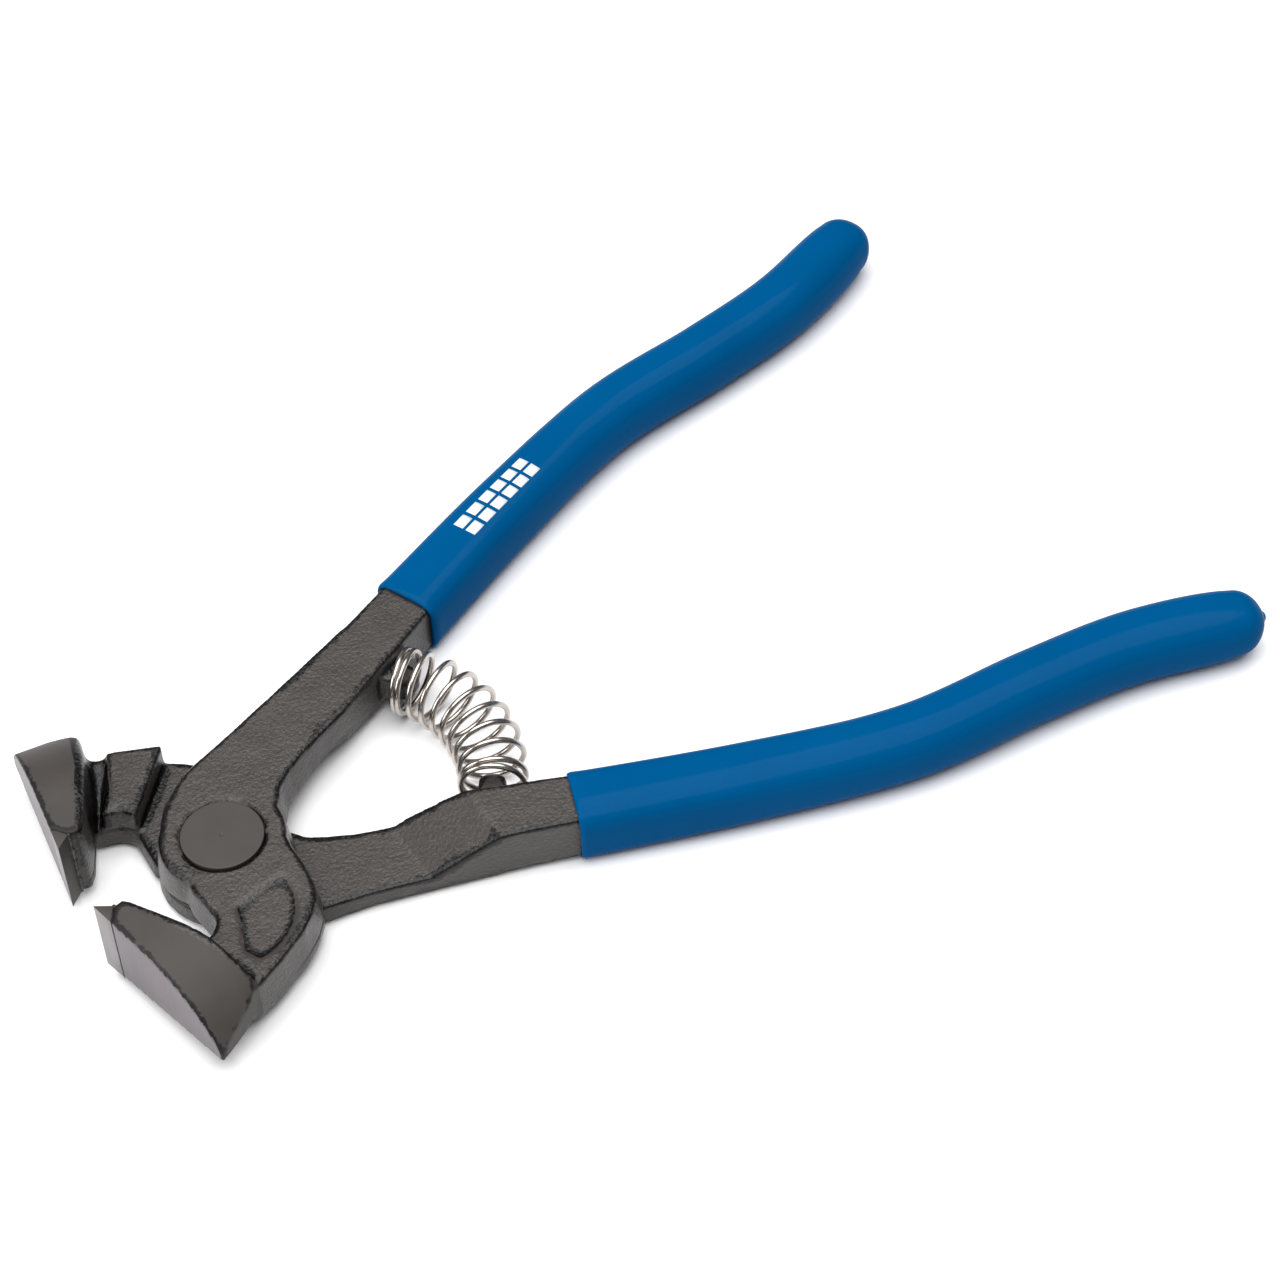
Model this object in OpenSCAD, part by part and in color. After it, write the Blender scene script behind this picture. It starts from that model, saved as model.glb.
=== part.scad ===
/* [Pivot] */
// Radius of the round boss on each lever
boss_r = 10.9; // [10:0.1:11.2]
// Thickness of the front lever at the lap joint
front_boss_t = 7.05; // [6.8:0.05:7.2]
// Thickness of the rear lever at the lap joint
rear_boss_t = 3.8; // [3.6:0.05:4]
// Depth of the lap joint below the middle of the handles
lap_drop = 1.8; // [1.6:0.1:2]
// Diameter of the rivet's shank
shank_d = 9; // [7:0.5:10]
// Diameter of the rivet's flat heads
rivet_head_d = 14.4; // [13:0.1:15]
// Height by which a rivet head stands out of its lever
head_proud = 0.15; // [0.1:0.05:0.3]

/* [Jaws] */
// Angle between the cutting edges with the handles open
jaw_open = 29.4; // [29:0.1:30]
// Angle by which the mouth is turned from the handles' centre line
jaw_skew = 3.3; // [2.5:0.1:4]
// Distance of both cutting edges from the pivot
edge_r = 27.2; // [26.8:0.1:27.6]
// Lean of the jaws' front faces from square to the tool
face_lean = 9.9; // [9:0.1:11]
// Width of a cutting edge
edge_w = 16.4; // [15:0.2:17]
// Height of the jaws' middle above the middle of the handles
jaw_lift = 3.8; // [3:0.1:4]
// Length of a jaw's front face, from its edge to its outer corner
face_l = 31.5; // [31:0.1:32.5]

/* [Handles] */
// Thickness of the bars where they enter the grips
bar_t = 9.8; // [9:0.1:10.2]
// Width of a tang at its far end
tang_w = 7.2; // [6.4:0.2:8]
// Half the thickness of a grip
grip_h = 6.3; // [6.2:0.05:6.6]
// Half the width of a grip
grip_w = 6.4; // [6.2:0.05:6.8]

/* [Spring] */
// Diameter of the spring's wire
wire_d = 1.1; // [1:0.05:1.2]
// Number of coils
coils = 11; // [9:1:11]
// Radius of the wire's centre line at the end coils
coil_end_r = 5.6; // [5.2:0.1:5.8]
// Radius of the wire's centre line at the middle coil
coil_mid_r = 6.2; // [6:0.1:6.3]

/* [Hidden] */
$fn = 96;

// Heights are drawn from the middle of the handles. The rear lever is drawn turned over.
mid_z = rear_boss_t + head_proud + lap_drop;
front_top = front_boss_t - lap_drop;
rear_top = rear_boss_t + lap_drop;
lap_gap = 0.03;                   // each lever stops this far short of the lap joint
run_gap = 0.05;                   // running clearance round the rivet
rivet_head_t = 1.5;
far = 100;                        // longer than any half of the tool

// Centre line of a handle, from the bar's end to the middle of the rounded tip
handle_line = [[54, 28], [82, 39], [110, 48], [135, 50.6], [155, 53.6], [173.6, 59.8]];
tip_r = 5.9;                      // roundness of a grip's tip
tang_end = 0.93;                  // how far along the handle line the tang reaches
tang_steps = 28;

// Plan outlines of a lever, with its jaw at -Y and its handle at +Y
bar_plan = [[-9.9, 2.2], [-8.9, 5.4], [-7.2, 8.7], [-5, 11.4], [-1.6, 13.9], [1.5, 15.8], [12, 18.9],
            [22.5, 22.3], [33.6, 25.9], [43.7, 29.4], [53, 33.1], [56, 34], [58, 24.8], [55, 22.6],
            [45, 18], [38, 14.7], [31, 11.4], [26.4, 9.8], [21, 7.9], [16.6, 5.8], [13.4, 3.6],
            [12, 1.4], [9, -1]];
neck_plan = [[10.5, -1.5], [9.1, -5.3], [8.6, -9.2], [8.5, -13.2], [7.8, -17.6], [6.6, -20.3], [4.4, -22.9],
             [1.2, -25.4], [-4.4, -28.2], [-9.6, -30.4], [-12.4, -31.4], [-16, -28], [-18, -21], [-18, -18.6],
             [-15.5, -17.9], [-13.3, -17.5], [-11.4, -16.8], [-10, -15.6], [-9.4, -14.2], [-9.5, -12],
             [-10, -6]];

// Beyond a step the neck is thick enough to back its jaw: direction and distance of the step, height reached
front_step = [-110, 15.6, 4.3];
rear_step = [-133, 17.2, 3];

// A jaw in plan: distance out along its front face, then distance behind the face
tip_bevel = [2.3, 2.4];           // back corner of the carbide, on the mouth's side
tip_l = 4.6;                      // length of the carbide along the front face
braze_t = 0.15;
jaw_plan = [[0, 0], tip_bevel, [2.3, 4.2], [3.7, 5.2], [9, 7.2], [16.2, 9.8], [19.6, 10.6], [24, 11.2],
            [26.4, 11.5], [27.9, 10.6], [28.8, 8.9], [29.6, 6.4], [face_l, 0]];

// Groove between the thick neck and the back of the jaw, deepest at the mouth
groove_plan = [[9, 7], [16.2, 9.6], [24, 11], [26, 11.2], [26, 15], [21, 14.3], [10.5, 9.2], [4, 8]];
groove_side = [[-1, -2.2], [9, -2.2], [25, 2.2], [27, 2.4], [27, far], [-1, far]];

// A jaw from the front: the underside rises to the outer corner, the top falls to it in a curve
edge_top = jaw_lift + edge_w / 2;
edge_low = jaw_lift - edge_w / 2;
corner_z = -0.4;
shoulder = 11;                    // where the straight top ends
crown_steps = 7;
jaw_front = concat(
    [[-2, edge_low], [-2, edge_top], [shoulder, edge_top]],
    [for (i = [1:crown_steps]) let (a = 90 * i / crown_steps)
        [shoulder + (face_l - shoulder) * sin(a), corner_z + (edge_top - corner_z) * pow(cos(a), 1.25)]],
    [[face_l + 3, corner_z + 0.2], [face_l + 3, corner_z - 0.4]]);

// The spring's centre line is an arc between two seats
seat = [44.6, 15.2];
seat_turn = 38;                   // direction of the arc at a seat
arc_r = seat[1] / sin(seat_turn);
arc_x = seat[0] - arc_r * cos(seat_turn);
end_coils = 1.7;                  // coils wound close at each end
end_pitch = wire_d + 0.08;
ring_sides = 8;
rings_per_coil = 14;
spring_lift = 0.6;
nib_root = [43.2, 17.6];          // forged nib inside each end of the spring
nib_turn = 32;
nib_plan = [[-3, -2.9], [0, -2.9], [4.4, -2.3], [5.9, -1.3], [5.9, 1.3], [4.4, 2.3], [0, 2.9], [-3, 2.9]];

steel = [0.29, 0.28, 0.27];
carbide = [0.56, 0.54, 0.53];
vinyl = [0.0, 0.35, 0.6];

function along(a, r) = [r * cos(a), r * sin(a)];
function unit(v) = v / norm(v);
function mix(a, b, t) = a + (b - a) * t;
function left_of(v) = [-v[1], v[0]];

// Catmull-Rom curve through a list of points
function line_at(p, t) =
    let (n = len(p) - 1, s = min(floor(t * n), n - 1), f = t * n - s,
         a = p[max(s - 1, 0)], b = p[s], c = p[s + 1], d = p[min(s + 2, n)])
    0.5 * (2 * b + (c - a) * f + (2 * a - 5 * b + 4 * c - d) * f * f + (3 * b - a - 3 * c + d) * f * f * f);
function line_dir(p, t) = unit(line_at(p, min(t + 0.01, 1)) - line_at(p, max(t - 0.01, 0)));

// Closed skin over a list of rings that all have the same number of points
module skin(rings) {
    n = len(rings[0]);
    m = len(rings);
    polyhedron(
        points = [for (ring = rings) each ring],
        faces = concat(
            [[for (i = [n - 1:-1:0]) i]],
            [for (k = [0:m - 2], i = [0:n - 1])
                [k * n + i, k * n + (i + 1) % n, (k + 1) * n + (i + 1) % n, (k + 1) * n + i]],
            [[for (i = [0:n - 1]) (m - 1) * n + i]]),
        convexity = 10);
}

// Puts the rear rivet head's flat face at zero
module lifted() {
    translate([0, 0, mid_z]) children();
}

// Turns a lever over, which makes the rear one from the front one
module turned() {
    rotate([180, 0, 0]) children();
}

module plate(outline, low, high) {
    translate([0, 0, low]) linear_extrude(height = high - low) polygon(outline);
}

// Stands an outline of X and height upright, through the whole tool
module upright(outline) {
    rotate([90, 0, 0]) translate([0, 0, -far]) linear_extrude(height = 2 * far) polygon(outline);
}

// Places a jaw's own outline: X runs out along the front face, Y runs back from it
module on_jaw(side) {
    edge_angle = 180 - side * jaw_skew + jaw_open / 2;
    mirror([0, side > 0 ? 0 : 1, 0])
        translate(along(edge_angle, edge_r)) rotate(face_lean - 90) children();
}

// Side profile of a lever's handle: thin at the lap, full past the ramp
module handle_profile(lap, top) {
    half = bar_t / 2;
    upright([[-far, top], [34, top], [50, half], [86, half], [112, 3.6], [180, 3.2],
             [180, -3.2], [112, -3.6], [86, -half], [39, -half], [27, lap], [-far, lap]]);
}

module tang_plan() {
    spots = [for (i = [0:tang_steps]) i / tang_steps];
    left = [for (t = spots) line_at(handle_line, t * tang_end)
        + left_of(line_dir(handle_line, t * tang_end)) * mix(10.6, tang_w, t) / 2];
    right = [for (t = spots) line_at(handle_line, t * tang_end)
        - left_of(line_dir(handle_line, t * tang_end)) * mix(10.6, tang_w, t) / 2];
    polygon(concat(left, [for (i = [tang_steps:-1:0]) right[i]]));
}

module tang(lap, top) {
    intersection() {
        translate([0, 0, -far]) linear_extrude(height = 2 * far) tang_plan();
        handle_profile(lap, top);
    }
}

module bar(lap, top) {
    intersection() {
        plate(bar_plan, -far, far);
        handle_profile(lap, top);
    }
}

module neck(lap, top, step) {
    plate(neck_plan, lap, top);
    intersection() {
        plate(neck_plan, -step[2], lap + 0.5);
        rotate(step[0]) translate([step[1], -far, -far]) cube(2 * far);
    }
}

// Shallow sector pressed into the outside of the neck
module neck_mark(top) {
    translate([0, 0, top - 0.6]) linear_extrude(height = 2) intersection() {
        translate([-7, -14.6]) circle(r = 11.5);
        polygon([[-5.5, -14.3], [3.8, -12.9], [6, -16], [6, -30], [-7.3, -30], [-7.3, -26.6], [-9, -22.9]]);
    }
}

// Blunt nib that holds one end of the spring
module spring_nib() {
    translate(nib_root) rotate(nib_turn - 90) intersection() {
        plate(nib_plan, -5, 5);
        upright(nib_plan);
    }
}

module shank(lap, top, step) {
    difference() {
        union() {
            translate([0, 0, lap]) cylinder(r = boss_r, h = top - lap);
            bar(lap, top);
            tang(lap, top);
            neck(lap, top, step);
            spring_nib();
        }
        neck_mark(top);
    }
}

module jaw_block() {
    intersection() {
        plate(jaw_plan, edge_low - 1, edge_top + 1);
        upright(jaw_front);
    }
}

// Room for the carbide and its braze
module tip_seat() {
    joint = tip_l + braze_t;
    plate([[-1, -1], tip_bevel - [0.6, -0.6], tip_bevel + [braze_t, 0], [joint, 0], [joint, -1]],
          edge_low - 2, edge_top + 2);
}

module jaw(side) {
    on_jaw(side) difference() {
        jaw_block();
        tip_seat();
    }
}

module groove(side) {
    on_jaw(side) mirror([0, 0, side > 0 ? 1 : 0]) intersection() {
        plate(groove_plan, -far, far);
        upright(groove_side);
    }
}

module bores(top, clear) {
    translate([0, 0, -far]) cylinder(r = shank_d / 2 + clear, h = 2 * far);
    translate([0, 0, top - rivet_head_t - clear]) cylinder(r = rivet_head_d / 2 + clear, h = far);
}

module front_lever() {
    color(steel) lifted() difference() {
        union() {
            difference() {
                shank(lap_gap - lap_drop, front_top, front_step);
                groove(1);
            }
            jaw(1);
        }
        bores(front_top, run_gap);
    }
}

module rear_lever() {
    color(steel) lifted() difference() {
        union() {
            difference() {
                turned() shank(lap_gap + lap_drop, rear_top, rear_step);
                groove(-1);
            }
            jaw(-1);
        }
        turned() bores(rear_top, 0);
    }
}

module pivot_rivet() {
    head_t = rivet_head_t + head_proud;
    length = front_boss_t + rear_boss_t + 2 * head_proud;
    color(steel) {
        cylinder(d = shank_d, h = length);
        cylinder(d = rivet_head_d, h = head_t);
        translate([0, 0, length - head_t]) cylinder(d = rivet_head_d, h = head_t);
    }
}

module carbide_tip(side) {
    color(carbide) lifted() on_jaw(side) plate([[0, 0], tip_bevel, [tip_l, 0]], edge_low, edge_top);
}

module braze_layer(side) {
    color(steel) lifted() on_jaw(side)
        plate([tip_bevel, tip_bevel + [braze_t, 0], [tip_l + braze_t, 0], [tip_l, 0]], edge_low, edge_top);
}

module front_carbide_tip() { carbide_tip(1); }
module rear_carbide_tip() { carbide_tip(-1); }
module front_braze_layer() { braze_layer(1); }
module rear_braze_layer() { braze_layer(-1); }

// Distance along the spring's centre line after a number of coils, close wound at both ends
function coil_run(c) =
    let (total = 2 * seat_turn * PI / 180 * arc_r,
         open_pitch = (total - 2 * end_coils * end_pitch) / (coils - 2 * end_coils))
    c < end_coils ? c * end_pitch :
    c > coils - end_coils ? total - (coils - c) * end_pitch :
    end_coils * end_pitch + (c - end_coils) * open_pitch;

function coil_point(c, out) =
    let (turn = seat_turn - coil_run(c) / arc_r * 180 / PI,
         r = mix(coil_end_r, coil_mid_r, pow(sin(180 * c / coils), 2)) + out,
         radial = arc_r + r * cos(360 * c))
    [arc_x + radial * cos(turn), radial * sin(turn), spring_lift + r * sin(360 * c)];

module return_spring() {
    color([0.82, 0.79, 0.74]) lifted() skin([for (k = [0:coils * rings_per_coil])
        let (c = k / rings_per_coil, mid = coil_point(c, 0),
             ahead = coil_point(c + 0.01, 0) - coil_point(c - 0.01, 0),
             out = unit(coil_point(c, 1) - mid), side = unit(cross(ahead, out)))
        [for (i = [0:ring_sides - 1]) let (a = 360 * i / ring_sides)
            mid + wire_d / 2 * (out * cos(a) + side * sin(a))]]);
}

// Section of a grip: a rounded rectangle that becomes nearly round
function grip_ring(t, ahead, size) =
    let (mid = line_at(handle_line, t), dir = line_dir(handle_line, t), side = left_of(dir),
         square = mix(3.4, 2.3, min(1, t * 3)), h = grip_h * size,
         w = (grip_w + 0.3 * max(0, 1 - t * 4)) * size)
    [for (i = [0:23]) let (c = cos(15 * i), s = sin(15 * i),
        x = sign(c) * pow(abs(c), 2 / square) * w, z = sign(s) * pow(abs(s), 2 / square) * h,
        p = mid + dir * ahead + side * x)
        [p[0], p[1], z]];

module grip(lap, top) {
    body_steps = 30;
    tip_steps = 6;
    difference() {
        skin(concat(
            [for (i = [0:body_steps]) grip_ring(i / body_steps, 0, 1)],
            [for (i = [1:tip_steps]) let (a = 84 * i / tip_steps) grip_ring(1, tip_r * sin(a), cos(a))]));
        tang(lap, top);
    }
}

module front_grip() {
    color(vinyl) lifted() grip(lap_gap - lap_drop, front_top);
}

module rear_grip() {
    color(vinyl) lifted() turned() grip(lap_gap + lap_drop, rear_top);
}

rear_lever();
front_lever();
pivot_rivet();
rear_carbide_tip();
front_carbide_tip();
rear_braze_layer();
front_braze_layer();
return_spring();
rear_grip();
front_grip();
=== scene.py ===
import math
import random

import bmesh
import bpy
import numpy as np
from mathutils import Matrix, Vector, noise


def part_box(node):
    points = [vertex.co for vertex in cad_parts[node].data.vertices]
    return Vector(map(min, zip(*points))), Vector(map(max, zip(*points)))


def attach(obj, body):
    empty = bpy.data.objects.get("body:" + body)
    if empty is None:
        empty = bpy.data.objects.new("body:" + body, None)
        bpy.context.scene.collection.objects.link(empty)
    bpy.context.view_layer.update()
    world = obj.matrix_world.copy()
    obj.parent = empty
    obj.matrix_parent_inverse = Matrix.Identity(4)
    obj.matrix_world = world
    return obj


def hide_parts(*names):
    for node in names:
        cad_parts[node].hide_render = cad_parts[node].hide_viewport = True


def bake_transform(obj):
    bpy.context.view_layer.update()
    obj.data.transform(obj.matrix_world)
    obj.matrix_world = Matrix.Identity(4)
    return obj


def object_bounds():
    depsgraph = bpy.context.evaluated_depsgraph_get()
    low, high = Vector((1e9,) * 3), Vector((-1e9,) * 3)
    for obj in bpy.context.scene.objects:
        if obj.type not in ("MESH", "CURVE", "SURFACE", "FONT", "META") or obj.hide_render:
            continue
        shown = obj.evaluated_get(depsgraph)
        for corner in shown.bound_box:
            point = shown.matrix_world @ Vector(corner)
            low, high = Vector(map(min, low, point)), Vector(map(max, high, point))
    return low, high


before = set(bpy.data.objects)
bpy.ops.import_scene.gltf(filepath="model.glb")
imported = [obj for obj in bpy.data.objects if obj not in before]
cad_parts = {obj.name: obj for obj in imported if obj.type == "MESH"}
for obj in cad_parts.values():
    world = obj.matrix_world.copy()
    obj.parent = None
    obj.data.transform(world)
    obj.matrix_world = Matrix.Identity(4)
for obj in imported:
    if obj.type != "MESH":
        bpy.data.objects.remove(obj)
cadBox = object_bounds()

mm = 0.001
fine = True

# heights that the pieces share, in metres
levels = {
    "rivetBack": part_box("pivot_rivet")[0].z,
    "rivetFront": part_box("pivot_rivet")[1].z,
    "gripMiddle": (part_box("front_grip")[0].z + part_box("front_grip")[1].z) / 2,
    "lap": 3.95 * mm,
}
sides = {"front": 1, "rear": -1}
arms = {"front": "front_arm", "rear": "rear_arm"}


def newPiece(name, bm, finishes):
    mesh = bpy.data.meshes.new(name)
    bm.to_mesh(mesh)
    bm.free()
    piece = bpy.data.objects.new(name, mesh)
    bpy.context.scene.collection.objects.link(piece)
    for finish in finishes:
        mesh.materials.append(finish)
    for face in mesh.polygons:
        face.use_smooth = True
    return piece


def tube(around, rings, spot):
    # a closed tube: spot gives the place of each ring's point in millimetres
    bm = bmesh.new()
    bmesh.ops.create_grid(bm, x_segments=around, y_segments=rings - 1, size=1)
    for v in bm.verts:
        column = round((v.co.x + 1) / 2 * around)
        ring = round((v.co.y + 1) / 2 * (rings - 1))
        v.co = spot(ring, 2 * math.pi * (column % around) / around)
    bmesh.ops.remove_doubles(bm, verts=bm.verts, dist=1e-5)
    bmesh.ops.holes_fill(bm, edges=[e for e in bm.edges if e.is_boundary])
    bmesh.ops.poke(bm, faces=[f for f in bm.faces if len(f.verts) > 4])
    return bm


def fromMm(height):
    # turns millimetres into metres, with zero at the height
    return Matrix.Translation((0, 0, height)) @ Matrix.Scale(mm, 4)


def putInPlace(bm, matrix):
    # puts a shape in its place and turns its faces outward again
    bmesh.ops.transform(bm, matrix=matrix, verts=bm.verts)
    bmesh.ops.recalc_face_normals(bm, faces=bm.faces)


def joinInto(bm, extra):
    mesh = bpy.data.meshes.new("extra")
    extra.to_mesh(mesh)
    extra.free()
    bm.from_mesh(mesh)
    bpy.data.meshes.remove(mesh)


def bake(piece):
    # puts the result of the piece's modifiers into its mesh
    depsgraph = bpy.context.evaluated_depsgraph_get()
    mesh = bpy.data.meshes.new_from_object(piece.evaluated_get(depsgraph))
    piece.modifiers.clear()
    piece.data = mesh


def sharpen(piece, degrees):
    # keeps edges crisp where the surface turns by more than the angle
    piece.data.set_sharp_from_angle(angle=math.radians(degrees))


def place(piece, arm, slot, *nodes):
    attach(piece, arm)
    if nodes:
        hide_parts(*nodes)


# builders that every shader tree shares

def startGroup(name, inputs, outputs):
    tree = bpy.data.node_groups.new(name, "ShaderNodeTree")
    for key, value in inputs.items():
        entry = tree.interface.new_socket(key, in_out="INPUT", socket_type="NodeSocketFloat")
        entry.default_value = value
    for key in outputs:
        tree.interface.new_socket(key, in_out="OUTPUT", socket_type="NodeSocketFloat")
    return tree, tree.nodes.new("NodeGroupInput"), tree.nodes.new("NodeGroupOutput")


def startMaterial(name):
    material = bpy.data.materials.new(name)
    material.use_nodes = True
    return material, material.node_tree, material.node_tree.nodes["Principled BSDF"]


def objectCoords(tree):
    # places on the piece itself, so that patterns move with it
    return tree.nodes.new("ShaderNodeTexCoord").outputs["Object"]


def noiseTexture(tree, where, scale, detail=2.0):
    texture = tree.nodes.new("ShaderNodeTexNoise")
    texture.inputs["Scale"].default_value = scale
    texture.inputs["Detail"].default_value = detail
    tree.links.new(where, texture.inputs["Vector"])
    return texture


def ranged(tree, value, to, start=(0.0, 1.0)):
    # maps a value from one range onto another
    ramp = tree.nodes.new("ShaderNodeMapRange")
    for name, number in zip(("From Min", "From Max", "To Min", "To Max"), (*start, *to)):
        ramp.inputs[name].default_value = number
    tree.links.new(value, ramp.inputs["Value"])
    return ramp.outputs["Result"]


def calculate(tree, operation, *terms):
    # each term is a socket or a plain number
    node = tree.nodes.new("ShaderNodeMath")
    node.operation = operation
    for term, entry in zip(terms, node.inputs):
        if isinstance(term, float):
            entry.default_value = term
        else:
            tree.links.new(term, entry)
    return node.outputs[0]


def mixColour(tree, factor, low, high):
    mix = tree.nodes.new("ShaderNodeMix")
    mix.data_type = "RGBA"
    tree.links.new(factor, mix.inputs["Factor"])
    for value, index in ((low, 6), (high, 7)):
        if isinstance(value, tuple):
            mix.inputs[index].default_value = value
        else:
            tree.links.new(value, mix.inputs[index])
    return mix.outputs[2]


def addBump(tree, shader, height, strength, distance):
    bump = tree.nodes.new("ShaderNodeBump")
    bump.inputs["Strength"].default_value = strength
    bump.inputs["Distance"].default_value = distance
    tree.links.new(height, bump.inputs["Height"])
    tree.links.new(bump.outputs["Normal"], shader.inputs["Normal"])


wrinkleLook = {
    "detail": 3.0, "distortion": 0.6, "waveScale": 170.0, "waveShare": 0.8,
    "pitScale": 620.0, "pitReach": 0.32, "pitDepth": -0.5,
}


def wrinkleGroup(look):
    # dried lacquer over rough forged steel: fine wrinkles, broad waves and small pits
    inputs = {"Wrinkle Size": 900.0, "Broken": 0.5}
    tree, entry, leave = startGroup("forgedWrinkle", inputs, ("Height", "Mottle"))
    where = objectCoords(tree)
    wrinkle = noiseTexture(tree, where, 1.0, look["detail"])
    wrinkle.inputs["Distortion"].default_value = look["distortion"]
    tree.links.new(entry.outputs["Wrinkle Size"], wrinkle.inputs["Scale"])
    waves = noiseTexture(tree, where, look["waveScale"]).outputs["Fac"]
    pits = tree.nodes.new("ShaderNodeTexVoronoi")
    pits.inputs["Scale"].default_value = look["pitScale"]
    tree.links.new(where, pits.inputs["Vector"])
    dent = ranged(tree, pits.outputs["Distance"], (look["pitDepth"], 0.0), (0.0, look["pitReach"]))
    broken = calculate(tree, "MULTIPLY", dent, entry.outputs["Broken"])
    rough = calculate(tree, "ADD", wrinkle.outputs["Fac"], broken)
    height = calculate(tree, "MULTIPLY_ADD", waves, look["waveShare"], rough)
    tree.links.new(height, leave.inputs["Height"])
    tree.links.new(waves, leave.inputs["Mottle"])
    return tree


# ranges for the ragged painted shade in hollows and the painted dark reflection on convex edges
creaseLook = {
    "grainScale": 1300.0, "grainDetail": 4.0, "patchScale": 230.0,
    "hollowShade": (0.52, 0.64), "edge": (1.62, 1.85),
}


def creaseGroup(look):
    # reads the crease attribute and gives ragged masks: painted shade in the hollows, and painted dark
    # reflection on convex edges
    tree, entry, leave = startGroup("creaseMask", {"Ragged": 0.6}, ("Hollow Shade", "Dark Edge Reflection"))
    where = objectCoords(tree)
    crease = tree.nodes.new("ShaderNodeAttribute")
    crease.attribute_name = "crease"
    grain = noiseTexture(tree, where, look["grainScale"], look["grainDetail"]).outputs["Fac"]
    patch = noiseTexture(tree, where, look["patchScale"]).outputs["Fac"]
    inward = calculate(tree, "MULTIPLY_ADD", grain, entry.outputs["Ragged"], crease.outputs["Fac"])
    tree.links.new(ranged(tree, inward, (0.0, 1.0), look["hollowShade"]), leave.inputs["Hollow Shade"])
    outward = calculate(tree, "SUBTRACT", calculate(tree, "ADD", patch, grain), crease.outputs["Fac"])
    tree.links.new(ranged(tree, outward, (0.0, 1.0), look["edge"]), leave.inputs["Dark Edge Reflection"])
    return tree


groups = {"wrinkle": wrinkleGroup(wrinkleLook), "crease": creaseGroup(creaseLook)}


def placedGroup(tree, key, values):
    # puts a shared group into a material and gives its outputs
    node = tree.nodes.new("ShaderNodeGroup")
    node.node_tree = groups[key]
    for name, value in values.items():
        node.inputs[name].default_value = value
    return node.outputs


lacquerLook = {
    "thick": (0.037, 0.032, 0.0295, 1),
    "thin": (0.054, 0.0475, 0.044, 1),
    # painted shade in hollows and painted dark reflection on convex edges, nearly black
    "hollowShade": (0.001, 0.001, 0.001, 1),
    "edge": (0.004, 0.003, 0.003, 1),
    "wrinkleSize": 1500.0, "broken": 0.4,
    "depth": 0.00028, "strength": 0.7,
    "rough": (0.24, 0.36), "specular": 0.34,
}
smoothLook = {**lacquerLook, "depth": 0.00005, "rough": (0.5, 0.62), "broken": 0.15, "strength": 0.3}
brazeFinish = {**lacquerLook, "thick": (0.02, 0.017, 0.014, 1), "wrinkleSize": 1700.0}


def lacquer(name, look):
    material, tree, shader = startMaterial(name)
    wrinkle = placedGroup(tree, "wrinkle", {"Wrinkle Size": look["wrinkleSize"], "Broken": look["broken"]})
    crease = placedGroup(tree, "crease", {})
    body = mixColour(tree, wrinkle["Mottle"], look["thick"], look["thin"])
    # paints the dark reflection on convex edges, then the shade in hollows, over the mottled lacquer
    withEdgeReflection = mixColour(tree, crease["Dark Edge Reflection"], body, look["edge"])
    whole = mixColour(tree, crease["Hollow Shade"], withEdgeReflection, look["hollowShade"])
    tree.links.new(whole, shader.inputs["Base Color"])
    tree.links.new(ranged(tree, wrinkle["Mottle"], look["rough"]), shader.inputs["Roughness"])
    shader.inputs["Metallic"].default_value = 0.0
    shader.inputs["Specular IOR Level"].default_value = look["specular"]
    addBump(tree, shader, wrinkle["Height"], look["strength"], look["depth"])
    return material


groundLook = {
    "dark": (0.088, 0.076, 0.082, 1),
    "light": (0.175, 0.153, 0.161, 1),
    "turn": 9.9, "across": 90.0, "along": 2600.0, "scratchDetail": 4.0,
    "cloudScale": 110.0, "scratchShare": 0.35, "cloudShare": 0.65,
    "metallic": 0.7, "rough": (0.34, 0.52), "depth": 0.00002, "strength": 0.35,
}
carbideLook = {**groundLook, "dark": (0.12, 0.108, 0.11, 1), "rough": (0.28, 0.46)}


def groundSteel(name, look):
    # fine scratches from the grinding wheel
    material, tree, shader = startMaterial(name)
    where = objectCoords(tree)
    turned = tree.nodes.new("ShaderNodeMapping")
    turned.inputs["Rotation"].default_value = (0, 0, math.radians(look["turn"]))
    turned.inputs["Scale"].default_value = (look["along"], look["along"], look["across"])
    tree.links.new(where, turned.inputs["Vector"])
    scratch = noiseTexture(tree, turned.outputs["Vector"], 1.0, look["scratchDetail"]).outputs["Fac"]
    cloud = noiseTexture(tree, where, look["cloudScale"]).outputs["Fac"]
    clouded = calculate(tree, "MULTIPLY", cloud, look["cloudShare"])
    shade = calculate(tree, "MULTIPLY_ADD", scratch, look["scratchShare"], clouded)
    tree.links.new(mixColour(tree, shade, look["dark"], look["light"]), shader.inputs["Base Color"])
    tree.links.new(ranged(tree, scratch, look["rough"]), shader.inputs["Roughness"])
    shader.inputs["Metallic"].default_value = look["metallic"]
    addBump(tree, shader, scratch, look["strength"], look["depth"])
    return material


wireLook = {
    "dull": (0.36, 0.32, 0.29, 1), "bright": (0.6, 0.56, 0.52, 1),
    "stainScale": 420.0, "stainDetail": 3.0, "drawnScale": 1500.0,
    "rough": (0.16, 0.32), "depth": 0.00001, "strength": 0.12,
}


def springWire(look):
    # plated wire with faint stains and drawing marks
    material, tree, shader = startMaterial("springWire")
    where = objectCoords(tree)
    stain = noiseTexture(tree, where, look["stainScale"], look["stainDetail"]).outputs["Fac"]
    drawn = noiseTexture(tree, where, look["drawnScale"]).outputs["Fac"]
    tree.links.new(mixColour(tree, stain, look["dull"], look["bright"]), shader.inputs["Base Color"])
    tree.links.new(ranged(tree, stain, look["rough"]), shader.inputs["Roughness"])
    shader.inputs["Metallic"].default_value = 1.0
    addBump(tree, shader, drawn, look["strength"], look["depth"])
    return material


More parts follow.
